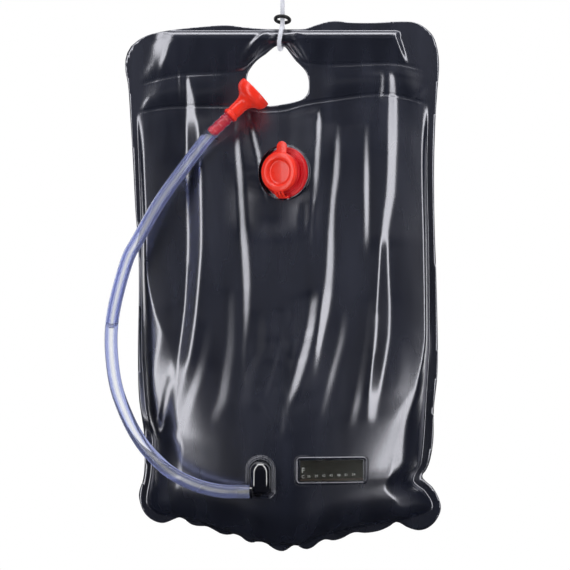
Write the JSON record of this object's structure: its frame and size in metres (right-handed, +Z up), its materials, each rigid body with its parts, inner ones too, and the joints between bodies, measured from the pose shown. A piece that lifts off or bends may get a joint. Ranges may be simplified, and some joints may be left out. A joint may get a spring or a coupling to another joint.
{
  "type": "camp shower bag",
  "caption": "Hanging camp shower bag of black film with a carrying rod, hand hole, hinged filler cap, temperature strip, hose with push-pull shower head, and hanging rope.",
  "frame": {"origin": "where a hook bears on the underside of the rope's eye", "axes": "+Z up along the hanging rope, -Y the front with the filler and the hose, +X to the right seen from the front"},
  "size_m": [0.3862, 0.1259, 0.7456],
  "materials": {
    "film_black": "satin black film with a fine grain",
    "outlet_black": "glossy black moulding",
    "rod_grey": "plain plastic tube",
    "moulded_red": "soft-gloss red moulding",
    "crimson": "glossy dark red moulding",
    "spray_white": "white moulding",
    "black_rubber": "smooth black rubber",
    "rope_white": "white braid",
    "clear_hose": "clear flexible tube with a faint blue tint",
    "strip_brown": "dark printed strip",
    "clear_film": "clear film"
  },
  "bodies": {
    "bag": {"front_panel": "film_black", "back_panel": "film_black", "carry_rod": "rod_grey", "filler_base": "moulded_red", "outlet_pad": "film_black", "outlet_elbow": "outlet_black", "window_frame": "film_black", "thermometer_strip": "strip_brown", "window_film": "clear_film", "hose": "clear_hose", "valve_stem": "crimson", "valve_seal_upper": "black_rubber", "valve_seal_lower": "black_rubber", "rope": "rope_white", "rope_knot": "rope_white", "rope_eye": "rope_white"},
    "cap": {"filler_cap": "moulded_red"},
    "shower_head": {"head_shell": "moulded_red", "spray_plate": "spray_white"},
    "ring": {"rope_ring": "black_rubber"}
  },
  "joints": [
    {"name": "cap_hinge", "type": "hinge", "parent": "bag", "child": "cap", "pos_m": [0.0004, -0.02498, -0.3315], "axis": [0.866, -0.5, 0], "range_deg": [0, 130]},
    {"name": "shower_valve", "type": "slide", "parent": "bag", "child": "shower_head", "axis": [0.7268, 0, 0.6868], "range_m": [0, 0.007]},
    {"name": "ring_slide", "type": "slide", "parent": "bag", "child": "ring", "axis": [0, 0, 1], "range_m": [0, 0.024]}
  ]
}
